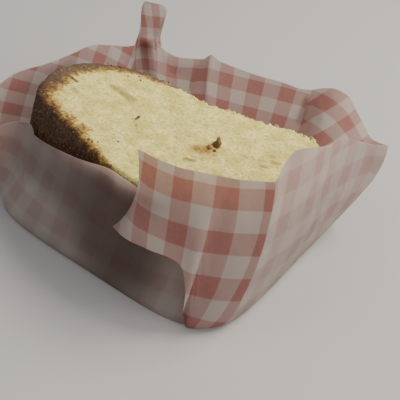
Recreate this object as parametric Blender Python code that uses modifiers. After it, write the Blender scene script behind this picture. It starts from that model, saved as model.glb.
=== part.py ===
# A thick pound cake slice that lies on one cut face in a folded sheet of greaseproof paper.
# Metres, +Z up. +X runs along the slice, -Y is the near side, where the paper's flap laps over.
# The named sizes are in millimetres: plan positions from the middle of the slice, heights from
# the table. The last step moves everything so that the middle of the whole stands at the origin.

import math
import random

import bmesh
import bpy
import numpy as np
from mathutils import Matrix, Vector, noise

MM = 0.001

# The paper sheet.
PAPER_THICKNESS = 0.35
PAPER_GAP = 0.35

# The slice: a cut face below, a cut face above, and crust all round between them.
SLICE_BOTTOM = PAPER_THICKNESS + PAPER_GAP
SLICE_TOP = 46.6
SLICE_COLUMNS = 168
EDGE_ROUNDING = [(1.0, 0.0), (0.3, 0.35), (0.0, 1.1)]
SIDE_LEVELS = 8
CRUST_SWELL = 0.9
CRUST_SWELL_NEAR_LEFT = 2.6
CRAG_DEPTH = 0.45
CRAG_SIZE = 4.5
CRAG_SHARE_AT_EDGE = 0.25
CRAG_FULL_DEPTH_BELOW = 3.0
RAGGED_DEPTH = 1.6
RAGGED_SIZE = 2.4
RAGGED_REACH_DOWN = 5.0

# The slice's outline at its upper face, from the right end over the far side.
SLICE_OUTLINE = [
    (51.5, 8), (50.5, 25), (46, 34.5), (39, 34.6), (31, 32), (22, 29.6), (12, 27.3), (4, 25),
    (-4, 25.5), (-14, 26), (-26, 25.2), (-33, 24), (-40, 21.2), (-50, 13), (-53.5, 2),
    (-51, -9), (-43.5, -19.5), (-30, -23.8), (-15, -28.6), (0, -32.4), (14, -33.2), (30, -29),
    (44, -18.5), (50, -7),
]

# Crumbs that stand on the ragged far edge.
EDGE_CRUMBS = 36
EDGE_CRUMB_SIZE = (1.0, 2.0)
EDGE_CRUMB_SPAN = (-32, 47)
EDGE_CRUMB_OUT = 0.5
EDGE_CRUMB_TOP = SLICE_TOP - 0.5
EDGE_CRUMB_DROP = 2.6
EDGE_CRUMB_SEED = 11

# Brown crumbs on the upper face: x, y, length, width, height, turn in degrees.
BROWN_CRUMBS = [
    (21.5, 3.4, 4.4, 2.5, 2.4, 62),
    (20.6, 0.4, 2.2, 1.7, 1.6, 15),
    (22.6, 0.0, 1.5, 1.2, 1.0, 40),
    (-7.9, -5.0, 1.9, 1.2, 1.0, 70),
]
BROWN_CRUMB_SHARE_ABOVE = 0.3
LUMP_UNEVENNESS = 0.22
LUMP_ROUGHNESS = 1.7

# Pits and the shallow groove in the upper face: x, y, length, width, depth, turn in degrees.
PITS = [
    (-22.5, 3.5, 11.0, 2.6, 0.7, -18),
    (-45.5, 2.5, 5.5, 1.5, 0.8, -35),
    (19.5, -9.0, 3.4, 2.2, 0.8, 10),
    (37, 7, 3.2, 2.0, 0.8, 25),
    (39, 12, 3.6, 2.4, 0.9, 0),
]

# The foot of the paper's wall: a rounded rectangle on the table.
FOOT_MIDDLE = (-1.0, 11.5)
FOOT_HALF = (55.5, 49.5)
FOOT_SQUARENESS = 5.0
FOOT_BEND = 7.0
BASE_RINGS = (0.55, 0.88)

# The wall, run by run round the sheet. Each run ends in a crease, where the next begins.
# foot: the run's two ends on the foot, as angles in degrees. swell: how far it bellies outwards.
# edge: the paper's upper edge, as (x, y, height). bend: the size of the bend at the foot, where
# it isn't FOOT_BEND.
WALL_RUNS = [
    # The near low wall.
    dict(foot=(314, 222), swell=(0, 2), bend=(1.0, 7), edge=[
        (42, -23, 37), (34, -29, 40), (25, -33.4, 43), (13, -35.4, 46.4), (4, -34.8, 46.2),
        (-9, -33.8, 42.5), (-22, -31, 36.5), (-33, -27.8, 31.5), (-42, -24, 28.5)]),
    # The near left bump.
    dict(foot=(222, 217), swell=(2, 4), edge=[
        (-42, -24, 28.5), (-45.5, -24.5, 33.3), (-50, -27.5, 34.3), (-55, -31.5, 33),
        (-61, -34, 33)]),
    # The left end.
    dict(foot=(217, 146), swell=(4, 1), edge=[
        (-61, -34, 33), (-62.5, -25, 41), (-60.5, -15, 46.5), (-57.8, -4, 47.6),
        (-57, 6, 47.8), (-56.5, 14, 48.4), (-56, 22, 49), (-57, 34, 45.2), (-57.5, 46, 40.8),
        (-58, 54, 38.6)]),
    # The far left ear.
    dict(foot=(146, 133), swell=(-1, 0), edge=[
        (-58, 54, 38.6), (-58.7, 56.8, 49), (-58.9, 58.5, 57.8), (-55, 60, 58.8),
        (-47.8, 61, 58.6), (-48.6, 59.5, 50), (-48, 58, 43)]),
    # The far side.
    dict(foot=(133, 64), swell=(1, 1), edge=[
        (-48, 58, 43), (-44, 58, 40.8), (-37, 58.5, 40), (-30, 62, 40.7), (-26, 65, 41.6),
        (-24.3, 67, 43.6), (-19, 66, 43), (-8, 66.3, 43.3), (2, 68, 43.4), (12, 70, 44),
        (20, 71.5, 44), (25, 72, 45.4)]),
    # The far right lobe.
    dict(foot=(64, 38), swell=(1, 4), edge=[
        (25, 72, 45.4), (29, 76, 46.6), (34, 77.5, 47.6), (41, 74.5, 48), (47, 69, 47),
        (54, 62.5, 45.5), (60, 58, 44), (66, 61, 42.5)]),
    # The right side.
    dict(foot=(38, -22), swell=(4, 6), edge=[
        (66, 61, 42.5), (61, 52, 45), (57.5, 41, 50), (55.3, 29, 54), (55.5, 18, 57),
        (55.2, 10, 60), (54, 3, 62.5)]),
    # The near right facet.
    dict(foot=(-22, -36), swell=(6, 6.5), edge=[
        (54, 3, 62.5), (52.8, -4, 63.5), (52.6, -8, 60.8), (53.5, -14, 57.2)]),
    # The near flap.
    dict(foot=(-36, -46), swell=(6.5, 13), edge=[
        (53.5, -14, 57.2), (49.5, -17, 57), (44.5, -21, 57), (42, -22.5, 57)]),
]

# The flap's free part, from the slit to its free side. Its lower edge rises from the foot.
# bow: how far the free side's middle curves in towards the flap, along X.
FREE_FLAP = dict(
    foot=-46, swell=(13, 5), bow=4.5,
    edge=[(42, -22.5, 57), (39.5, -24, 57), (33.5, -27, 57), (28.5, -29.5, 57),
          (20, -31.3, 57), (13, -31.5, 57)],
    lowerEdge=[(43.2, -38.0, 9), (42.6, -38.2, 20), (38.5, -37.8, 28.5), (28, -40.3, 29.5),
               (20, -42, 30), (13.3, -41.5, 31)])

# The ear at the far left corner is pinched half way up.
EAR_MIDDLE = (-53.0, 58.5)
EAR_REACH = 10.0
EAR_PINCH_HEIGHT = 46.0
EAR_PINCH_SPREAD = 5.0
EAR_PINCH = 0.2

BOW_FADE = 3
WALL_STEP = 3.2
CLIMB_SHARE = 0.25
WALL_ROWS = 8
SAMPLES_PER_SPAN = 12

CRUMB_COLOUR = (0.62, 0.54, 0.28)
PAPER_COLOUR = (0.62, 0.36, 0.33)


def smooth(points, closed=False):
    """A smooth curve through the points."""
    pts = [np.array(p, float) for p in points]
    count = len(pts)
    curve = []
    for i in range(count if closed else count - 1):
        a = pts[i - 1] if closed or i > 0 else 2 * pts[0] - pts[1]
        b = pts[i]
        c = pts[(i + 1) % count]
        d = pts[(i + 2) % count] if closed or i + 2 < count else 2 * pts[-1] - pts[-2]
        for t in np.linspace(0, 1, SAMPLES_PER_SPAN, endpoint=False):
            curve.append(0.5 * (2 * b + (c - a) * t + (2 * a - 5 * b + 4 * c - d) * t ** 2
                                + (3 * b - a - 3 * c + d) * t ** 3))
    curve.append(pts[0] if closed else pts[-1])
    return np.array(curve)


def planLength(curve):
    """Distance along the curve, in which a climb counts for less than the way in plan."""
    steps = np.diff(curve, axis=0)
    steps[:, 2:] *= CLIMB_SHARE
    return np.concatenate([[0], np.cumsum(np.linalg.norm(steps, axis=1))])


def evenly(curve, spans):
    """The curve again, with its points at equal distances."""
    along = planLength(curve)
    stations = np.linspace(0, along[-1], spans + 1)
    return np.stack([np.interp(stations, along, column) for column in curve.T], axis=1)


def ramp(value, start, end):
    """0 before start, 1 after end, and smooth between them."""
    t = min(max((value - start) / (end - start), 0.0), 1.0)
    return t * t * (3 - 2 * t)


def between(start, end, share):
    return start + (end - start) * share


def sliceOutline():
    """Points round the slice's upper face and the outward direction at each."""
    ring = evenly(smooth(SLICE_OUTLINE, closed=True), SLICE_COLUMNS)[:-1]
    along = np.roll(ring, -1, axis=0) - np.roll(ring, 1, axis=0)
    outward = np.stack([along[:, 1], -along[:, 0]], axis=1)
    return ring, outward / np.linalg.norm(outward, axis=1)[:, None]


def crustSwell(x, y, z):
    """How far the crust stands out from the upper outline at this height."""
    nearLeft = ramp(-x, 0, 40) * ramp(-y, -18, 4)
    depth = (SLICE_TOP - z) / (SLICE_TOP - SLICE_BOTTOM)
    depth = min(max(depth, 0.0), 1.0)
    return (CRUST_SWELL + CRUST_SWELL_NEAR_LEFT * nearLeft) * math.sin(math.pi * depth) ** 0.8


def crags(x, y, z):
    """Rough crust on the sides, and the torn crumb of the far edge near the top."""
    depth = SLICE_TOP - z
    rough = noise.fractal(Vector((x, y, z)) / CRAG_SIZE, 1.0, 2.0, 2) * CRAG_DEPTH
    rough *= between(CRAG_SHARE_AT_EDGE, 1.0, ramp(depth, 0, CRAG_FULL_DEPTH_BELOW))
    torn = abs(noise.noise(Vector((x, y, z)) / RAGGED_SIZE)) * RAGGED_DEPTH
    torn *= ramp(y, 18, 26) * ramp(x, -38, -26) * math.exp(-depth / RAGGED_REACH_DOWN)
    return rough + torn


def sliceLevels():
    """Heights and insets of the rings, from the lower face to the upper one."""
    lower = [(SLICE_BOTTOM + rise, inset) for inset, rise in EDGE_ROUNDING]
    upper = [(SLICE_TOP - rise, inset) for inset, rise in reversed(EDGE_ROUNDING)]
    first = lower[-1][0]
    last = upper[0][0]
    sides = [(z, 0.0) for z in np.linspace(first, last, SIDE_LEVELS + 1)[1:-1]]
    return lower + sides + upper


def newObject(name, bm, collection):
    mesh = bpy.data.meshes.new(name)
    bm.to_mesh(mesh)
    bm.free()
    obj = bpy.data.objects.new(name, mesh)
    collection.objects.link(obj)
    return obj


def lump(name, x, y, z, size, turn, subdivisions, collection):
    """An uneven round lump, for a crumb that is added or a pit that is cut."""
    bm = bmesh.new()
    place = Matrix.Translation(Vector((x, y, z)) * MM)
    shape = Matrix.Rotation(math.radians(turn), 4, "Z") @ Matrix.Diagonal((*size, 1.0))
    bmesh.ops.create_icosphere(bm, subdivisions=subdivisions, radius=MM / 2)
    for v in bm.verts:
        v.co *= 1 + LUMP_UNEVENNESS * noise.noise(v.co / MM * LUMP_ROUGHNESS + Vector((x, y, 0)))
    bmesh.ops.transform(bm, matrix=place @ shape, verts=bm.verts)
    obj = newObject(name, bm, collection)
    obj.hide_render = True
    obj.display_type = "WIRE"
    return obj


def joinByBoolean(obj, collection, operation):
    """Adds or cuts everything in the collection, applies it and removes the collection."""
    modifier = obj.modifiers.new(operation.lower(), "BOOLEAN")
    modifier.operation = operation
    modifier.operand_type = "COLLECTION"
    modifier.collection = collection
    modifier.solver = "EXACT"
    evaluated = obj.evaluated_get(bpy.context.evaluated_depsgraph_get())
    mesh = bpy.data.meshes.new_from_object(evaluated)
    obj.modifiers.clear()
    obj.data = mesh
    for cutter in list(collection.objects):
        bpy.data.objects.remove(cutter, do_unlink=True)
    bpy.data.collections.remove(collection)


def newCollection(name):
    collection = bpy.data.collections.new(name)
    bpy.context.scene.collection.children.link(collection)
    return collection


def makeSlice(parts):
    ring, outward = sliceOutline()
    bm = bmesh.new()
    loops = []
    for z, inset in sliceLevels():
        loop = []
        for (x, y), (ox, oy) in zip(ring, outward):
            out = crustSwell(x, y, z) + crags(x, y, z) - inset
            loop.append(bm.verts.new(((x + ox * out) * MM, (y + oy * out) * MM, z * MM)))
        loops.append(loop)
    for low, high in zip(loops, loops[1:]):
        for i in range(SLICE_COLUMNS):
            j = (i + 1) % SLICE_COLUMNS
            bm.faces.new((low[i], low[j], high[j], high[i]))
    bm.faces.new(loops[0][::-1])
    bm.faces.new(loops[-1])
    bmesh.ops.triangulate(bm, faces=bm.faces[:])
    obj = newObject("cake_slice", bm, parts)

    pits = newCollection("pits")
    for x, y, length, width, depth, turn in PITS:
        lump("pit", x, y, SLICE_TOP, (length, width, 2 * depth), turn, 2, pits)
    joinByBoolean(obj, pits, "DIFFERENCE")

    crumbs = newCollection("crumbs")
    for x, y, length, width, height, turn in BROWN_CRUMBS:
        middle = SLICE_TOP + BROWN_CRUMB_SHARE_ABOVE * height
        lump("crumb", x, y, middle, (length, width, height), turn, 2, crumbs)
    draw = random.Random(EDGE_CRUMB_SEED)
    farEdge = [k for k in range(SLICE_COLUMNS) if ring[k][1] > 20]
    farEdge = [k for k in farEdge if EDGE_CRUMB_SPAN[0] < ring[k][0] < EDGE_CRUMB_SPAN[1]]
    for n in range(EDGE_CRUMBS):
        k = farEdge[int((n + draw.random()) / EDGE_CRUMBS * len(farEdge))]
        size = [draw.uniform(*EDGE_CRUMB_SIZE) for axis in range(3)]
        x, y = ring[k] + outward[k] * draw.uniform(0.0, EDGE_CRUMB_OUT)
        z = EDGE_CRUMB_TOP - EDGE_CRUMB_DROP * draw.random() ** 2
        lump("crumb", x, y, z, size, draw.uniform(0, 180), 1, crumbs)
    joinByBoolean(obj, crumbs, "UNION")
    return obj


def footPoint(angle):
    """A point of the rounded rectangle and the outward direction there."""
    c = math.cos(math.radians(angle))
    s = math.sin(math.radians(angle))
    power = FOOT_SQUARENESS
    reach = (abs(c / FOOT_HALF[0]) ** power + abs(s / FOOT_HALF[1]) ** power) ** (-1 / power)
    out = np.array([math.copysign(abs(c * reach / FOOT_HALF[0]) ** (power - 1) / FOOT_HALF[0], c),
                    math.copysign(abs(s * reach / FOOT_HALF[1]) ** (power - 1) / FOOT_HALF[1], s)])
    place = np.array([FOOT_MIDDLE[0] + reach * c, FOOT_MIDDLE[1] + reach * s])
    return place, out / np.linalg.norm(out)


def pinchEar(point):
    """Draws the paper together round the ear's middle, most at the pinch height."""
    x, y, z = point
    distance = math.hypot(x - EAR_MIDDLE[0], y - EAR_MIDDLE[1])
    strength = EAR_PINCH * (1 - ramp(distance, 0.5 * EAR_REACH, EAR_REACH))
    strength *= math.exp(-((z - EAR_PINCH_HEIGHT) / EAR_PINCH_SPREAD) ** 2)
    return (x + (EAR_MIDDLE[0] - x) * strength, y + 0.5 * (EAR_MIDDLE[1] - y) * strength, z)


def clearOfSlice(point, ring, outward):
    """Moves a point of the paper outwards until it is clear of the slice."""
    x, y, z = point
    if z > SLICE_TOP + 2:
        return point
    k = int(np.argmin((ring[:, 0] - x) ** 2 + (ring[:, 1] - y) ** 2))
    ox, oy = outward[k]
    gap = (x - ring[k][0]) * ox + (y - ring[k][1]) * oy
    wanted = crustSwell(ring[k][0], ring[k][1], z) + CRAG_DEPTH + PAPER_THICKNESS + 2 * PAPER_GAP
    push = max(0.0, wanted - gap)
    return (x + ox * push, y + oy * push, z)


def wallColumn(foot, out, top, swell, bend):
    """Points up one line of the wall, from the foot over a soft bend to the upper edge."""
    z0 = PAPER_THICKNESS / 2
    a = np.array([foot[0], foot[1], z0])
    b = a + np.array([out[0], out[1], 0]) * bend
    d = np.array(top)
    c = np.array([d[0] + out[0] * swell, d[1] + out[1] * swell, (z0 + d[2]) / 2])
    return [bezier(a, b, c, d, v) for v in np.linspace(0, 1, WALL_ROWS + 1)]


def bezier(a, b, c, d, v):
    return ((1 - v) ** 3 * a + 3 * (1 - v) ** 2 * v * b + 3 * (1 - v) * v ** 2 * c + v ** 3 * d)


def makePaper(parts):
    ring, outward = sliceOutline()
    bm = bmesh.new()

    def vertex(point):
        x, y, z = clearOfSlice(pinchEar(point), ring, outward)
        return bm.verts.new((x * MM, y * MM, z * MM))

    columns = []
    feet = []
    for run in WALL_RUNS:
        edge = smooth(run["edge"])
        spans = max(3, round(planLength(edge)[-1] / WALL_STEP))
        tops = evenly(edge, spans)
        for k in range(spans):
            foot, out = footPoint(between(*run["foot"], k / spans))
            swell = between(*run["swell"], k / spans)
            bend = between(*run.get("bend", (FOOT_BEND, FOOT_BEND)), k / spans)
            line = wallColumn(foot, out, tops[k], swell, bend)
            footVertex = bm.verts.new((foot[0] * MM, foot[1] * MM, line[0][2] * MM))
            feet.append((foot, footVertex))
            columns.append([footVertex] + [vertex(p) for p in line[1:]])

    # The flap hangs free of the base from its last foot, which is also the wall's first one.
    edge = smooth(FREE_FLAP["edge"])
    spans = round(planLength(edge)[-1] / WALL_STEP)
    tops = evenly(edge, spans)
    lower = evenly(smooth(FREE_FLAP["lowerEdge"]), spans - 1)
    foot, out = footPoint(FREE_FLAP["foot"])
    first, last = FREE_FLAP["swell"]
    line = wallColumn(foot, out, tops[0], first, FOOT_BEND)
    columns.append([feet[0][1]] + [vertex(p) for p in line[1:]])
    for k in range(1, spans + 1):
        belly = np.array([out[0], out[1], 0]) * between(first, last, k / spans) / 3
        belly[0] += FREE_FLAP["bow"] * 4 / 3 * (k / spans) ** BOW_FADE
        a = lower[k - 1]
        d = tops[k]
        b = between(a, d, 1 / 3) + belly
        c = between(a, d, 2 / 3) + belly
        columns.append([vertex(bezier(a, b, c, d, v)) for v in np.linspace(0, 1, WALL_ROWS + 1)])

    for left, right in zip(columns, columns[1:]):
        for low, high in zip(range(WALL_ROWS), range(1, WALL_ROWS + 1)):
            bm.faces.new((left[low], left[high], right[high], right[low]))

    # The base: rings that close towards the middle.
    middle = bm.verts.new((FOOT_MIDDLE[0] * MM, FOOT_MIDDLE[1] * MM, PAPER_THICKNESS / 2 * MM))
    rings = []
    for share in BASE_RINGS:
        loop = []
        for foot, _ in feet:
            x, y = np.array(FOOT_MIDDLE) + (foot - np.array(FOOT_MIDDLE)) * share
            loop.append(bm.verts.new((x * MM, y * MM, PAPER_THICKNESS / 2 * MM)))
        rings.append(loop)
    rings.append([v for _, v in feet])
    count = len(feet)
    for i in range(count):
        j = (i + 1) % count
        bm.faces.new((middle, rings[0][i], rings[0][j]))
        for inner, outer in zip(rings, rings[1:]):
            bm.faces.new((inner[i], outer[i], outer[j], inner[j]))
    bmesh.ops.recalc_face_normals(bm, faces=bm.faces[:])
    obj = newObject("paper_wrap", bm, parts)
    thickness = obj.modifiers.new("thickness", "SOLIDIFY")
    thickness.thickness = PAPER_THICKNESS * MM
    thickness.offset = 0
    return obj


def material(name, colour, roughness):
    made = bpy.data.materials.new(name)
    made.use_nodes = True
    shader = made.node_tree.nodes["Principled BSDF"]
    shader.inputs["Base Color"].default_value = (*colour, 1.0)
    shader.inputs["Roughness"].default_value = roughness
    shader.inputs["Metallic"].default_value = 0.0
    return made


def centreOnOrigin(objects):
    """Moves the meshes so that the middle of the whole, seen from above, is at the origin."""
    depsgraph = bpy.context.evaluated_depsgraph_get()
    corners = []
    for obj in objects:
        mesh = obj.evaluated_get(depsgraph).to_mesh()
        corners += [v.co.copy() for v in mesh.vertices]
    middle = [(min(c[k] for c in corners) + max(c[k] for c in corners)) / 2 for k in (0, 1)]
    lowest = min(c[2] for c in corners)
    for obj in objects:
        obj.data.transform(Matrix.Translation((-middle[0], -middle[1], -lowest)))
    return (-middle[0], -middle[1], -lowest)


for existing in list(bpy.data.objects):
    bpy.data.objects.remove(existing, do_unlink=True)

parts = newCollection("pound_cake_slice")
cake = makeSlice(parts)
cake.data.materials.append(material("cake_crumb", CRUMB_COLOUR, 0.9))
paper = makePaper(parts)
paper.data.materials.append(material("greaseproof_paper", PAPER_COLOUR, 0.45))
centreShift = centreOnOrigin([cake, paper])
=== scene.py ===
# A thick slice of pound cake in a folded sheet of checked greaseproof paper, on a pale floor.
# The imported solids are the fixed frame. Sizes below are in millimetres, in plan from the middle
# of the slice and in height from the table, and toScene moves them to the frame.

import math
import random

import bpy
import numpy as np
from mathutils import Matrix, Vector


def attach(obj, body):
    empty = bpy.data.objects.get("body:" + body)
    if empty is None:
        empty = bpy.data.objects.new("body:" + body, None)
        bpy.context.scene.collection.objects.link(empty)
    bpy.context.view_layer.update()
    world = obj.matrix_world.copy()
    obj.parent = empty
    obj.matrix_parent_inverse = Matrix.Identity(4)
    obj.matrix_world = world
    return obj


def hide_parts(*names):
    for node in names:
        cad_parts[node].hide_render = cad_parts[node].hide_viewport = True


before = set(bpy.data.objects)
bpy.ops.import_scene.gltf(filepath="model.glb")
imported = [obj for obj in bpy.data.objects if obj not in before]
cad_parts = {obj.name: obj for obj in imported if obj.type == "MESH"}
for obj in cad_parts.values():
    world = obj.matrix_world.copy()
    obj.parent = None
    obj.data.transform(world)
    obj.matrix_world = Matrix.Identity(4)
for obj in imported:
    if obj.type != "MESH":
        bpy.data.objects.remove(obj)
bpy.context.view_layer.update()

mm = 0.001
sliceMiddle = np.array([-1.286, -17.7833, 0.0])  # the slice's middle in the frame
print("frame loaded")


def toScene(points):
    return (np.array(points, float) + sliceMiddle) * mm


def fromScene(mesh):
    flat = np.empty(len(mesh.vertices) * 3)
    mesh.vertices.foreach_get("co", flat)
    return flat.reshape(-1, 3) / mm - sliceMiddle


def clearSelection():
    if bpy.context.object and bpy.context.object.mode != "OBJECT":
        bpy.ops.object.mode_set(mode="OBJECT")
    bpy.ops.object.select_all(action="DESELECT")


def pick(obj):
    clearSelection()
    obj.select_set(True)
    bpy.context.view_layer.objects.active = obj


def applyAll(obj):
    pick(obj)
    for modifier in list(obj.modifiers):
        bpy.ops.object.modifier_apply(modifier=modifier.name)


def ramp(value, start, end):
    t = np.clip((np.asarray(value, float) - start) / (end - start), 0, 1)
    return t * t * (3 - 2 * t)


def between(start, end, share):
    return start + (end - start) * share


# Colours are sRGB hex values, turned linear for the shaders.
def linear(hexColour):
    parts = [int(hexColour[k:k + 2], 16) / 255 for k in (0, 2, 4)]
    return [c / 12.92 if c <= 0.04045 else ((c + 0.055) / 1.055) ** 2.4 for c in parts] + [1.0]


def addNode(tree, kind, links=None, **settings):
    node = tree.nodes.new(kind)
    inputs = settings.pop("inputs", {})
    for name, value in settings.items():
        setattr(node, name, value)
    for name, value in inputs.items():
        node.inputs[name].default_value = value
    for name, source in (links or {}).items():
        tree.links.new(source, node.inputs[name])
    return node


def newMaterial(name):
    made = bpy.data.materials.new(name)
    made.use_nodes = True
    made.node_tree.nodes.clear()
    return made, made.node_tree


def readAttribute(tree, name):
    return addNode(tree, "ShaderNodeAttribute", attribute_name=name).outputs["Fac"]


def combine(tree, operation, first, second):
    return addNode(tree, "ShaderNodeMath", {0: first, 1: second}, operation=operation).outputs[0]


def remap(tree, value, start, end, low=0.0, high=1.0, kind="LINEAR"):
    return addNode(tree, "ShaderNodeMapRange", {"Value": value}, interpolation_type=kind, inputs={
        "From Min": start, "From Max": end, "To Min": low, "To Max": high}).outputs[0]


def noise(tree, place, size, detail):
    return addNode(tree, "ShaderNodeTexNoise", {"Vector": place}, inputs={
        "Scale": 1 / (size * mm), "Detail": detail}).outputs["Fac"]


# Mixes two colours, each given in hex or as the output of a node.
def mixColours(tree, share, first, second, blend="MIX"):
    links, inputs = {0: share}, {}
    for socket, colour in ((6, first), (7, second)):
        if isinstance(colour, str):
            inputs[socket] = linear(colour)
        else:
            links[socket] = colour
    return addNode(tree, "ShaderNodeMix", links, data_type="RGBA", blend_type=blend,
                   inputs=inputs).outputs[2]


# Relief in the shading, its distance in millimetres, laid over another if one is given.
def bump(tree, height, strength, distance, under=None):
    links = {"Height": height}
    if under:
        links["Normal"] = under
    return addNode(tree, "ShaderNodeBump", links, inputs={
        "Strength": strength, "Distance": distance * mm}).outputs["Normal"]


camera = {
    "place": (111.068, -165.187, 170.158),
    "turn": (51.4782, -8.5331, 35.3777),
    "lens": 57.43,
    "sensor": 36.0,
    "near": 0.01,
}


def makeCamera():
    data = bpy.data.cameras.new("camera")
    data.lens = camera["lens"]
    data.sensor_width = camera["sensor"]
    data.clip_start = camera["near"]
    obj = bpy.data.objects.new("camera", data)
    bpy.context.scene.collection.objects.link(obj)
    obj.location = toScene(camera["place"])
    obj.rotation_euler = [math.radians(a) for a in camera["turn"]]
    bpy.context.scene.camera = obj


studio = {
    "floorSize": 6.0,
    "floor": "a6a4a1",
    "world": "e2e4e6",
    "worldStrength": 0.48,
    "lamps": [  # name, place, target, size, watts, colour
        ("key", (0.30, 0.42, 0.75), (0, 0, 0.03), 0.5, 12.0, "fff9f0"),
        ("right", (0.62, 0.02, 0.30), (0, 0, 0.03), 0.4, 2.6, "fbf8f4"),
        ("fill", (-0.5, -0.42, 0.65), (0, 0, 0.03), 0.7, 2.3, "f4f6ff"),
    ],
}


def makeStudio():
    clearSelection()
    bpy.ops.mesh.primitive_plane_add(size=studio["floorSize"], location=(0, 0, 0))
    floor = bpy.context.object
    floor.name = "floor"
    made, tree = newMaterial("matte_studio_paper")
    shader = addNode(tree, "ShaderNodeBsdfPrincipled", inputs={
        "Base Color": linear(studio["floor"]), "Roughness": 0.9})
    addNode(tree, "ShaderNodeOutputMaterial", {"Surface": shader.outputs["BSDF"]})
    floor.data.materials.append(made)

    world = bpy.data.worlds.new("studio")
    world.use_nodes = True
    background = world.node_tree.nodes["Background"]
    background.inputs["Color"].default_value = linear(studio["world"])
    background.inputs["Strength"].default_value = studio["worldStrength"]
    bpy.context.scene.world = world

    for name, place, target, size, watts, colour in studio["lamps"]:
        data = bpy.data.lights.new(name, "AREA")
        data.shape = "DISK"
        data.size = size
        data.energy = watts
        data.color = linear(colour)[:3]
        lamp = bpy.data.objects.new(name, data)
        bpy.context.scene.collection.objects.link(lamp)
        lamp.location = place
        lamp.rotation_euler = (Vector(target) - Vector(place)).to_track_quat("-Z", "Y").to_euler()


# Curves that the slice and the sheet share.
def smoothCurve(points, closed=False, samples=12):
    pts = [np.array(p, float) for p in points]
    count = len(pts)
    curve = []
    for i in range(count if closed else count - 1):
        a = pts[i - 1] if closed or i > 0 else 2 * pts[0] - pts[1]
        b = pts[i]
        c = pts[(i + 1) % count]
        d = pts[(i + 2) % count] if closed or i + 2 < count else 2 * pts[-1] - pts[-2]
        for t in np.linspace(0, 1, samples, endpoint=False):
            curve.append(0.5 * (2 * b + (c - a) * t + (2 * a - 5 * b + 4 * c - d) * t ** 2
                                + (3 * b - a - 3 * c + d) * t ** 3))
    curve.append(pts[0] if closed else pts[-1])
    return np.array(curve)


def curveLength(curve, climbShare=1.0):
    steps = np.diff(curve, axis=0)
    steps[:, 2:] *= climbShare
    return np.concatenate([[0], np.cumsum(np.linalg.norm(steps, axis=1))])


def evenPoints(curve, spans, climbShare=1.0):
    along = curveLength(curve, climbShare)
    stations = np.linspace(0, along[-1], spans + 1)
    return np.stack([np.interp(stations, along, column) for column in curve.T], axis=1)


loaf = {
    "bottom": 0.7,
    "top": 46.6,
    "outline": [
        (51.5, 8), (50.5, 25), (46, 34.5), (39, 34.6), (31, 32), (22, 29.6), (12, 27.3), (4, 25),
        (-4, 25.5), (-14, 26), (-26, 25.2), (-33, 24), (-40, 21.2), (-50, 13), (-53.5, 2),
        (-51, -9), (-43.5, -19.5), (-30, -23.8), (-15, -28.6), (0, -32.4), (14, -33.2), (30, -29),
        (44, -18.5), (50, -7)],
    "columns": 336,
    "swell": 0.9,
    "swellNearLeft": 2.6,
    "swellLeft": (0, 40),   # how far left the near-left bulge starts and is full,
    "swellNear": (-18, 4),  # and how far to the near side
    "swellRoundness": 0.8,
}
ring = evenPoints(smoothCurve(loaf["outline"], closed=True), loaf["columns"])[:-1]
ringAlong = np.roll(ring, -1, axis=0) - np.roll(ring, 1, axis=0)
ringOut = np.stack([ringAlong[:, 1], -ringAlong[:, 0]], axis=1)
ringOut /= np.linalg.norm(ringOut, axis=1)[:, None]


def nearestOnRing(plan):
    found = np.empty(len(plan), int)
    for start in range(0, len(plan), 4000):
        part = plan[start:start + 4000]
        gaps = (part[:, None, :] - ring[None, :, :]) ** 2
        found[start:start + 4000] = np.argmin(gaps.sum(axis=2), axis=1)
    return found


# The nearest place on the outline to each point, and how far outside it the point is.
def outsideRing(points):
    k = nearestOnRing(points[:, :2])
    return k, np.sum((points[:, :2] - ring[k]) * ringOut[k], axis=1)


def crustSwell(x, y, z):
    nearLeft = ramp(-x, *loaf["swellLeft"]) * ramp(-y, *loaf["swellNear"])
    depth = np.clip((loaf["top"] - z) / (loaf["top"] - loaf["bottom"]), 0, 1)
    belly = np.sin(math.pi * depth) ** loaf["swellRoundness"]
    return (loaf["swell"] + loaf["swellNearLeft"] * nearLeft) * belly


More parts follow.
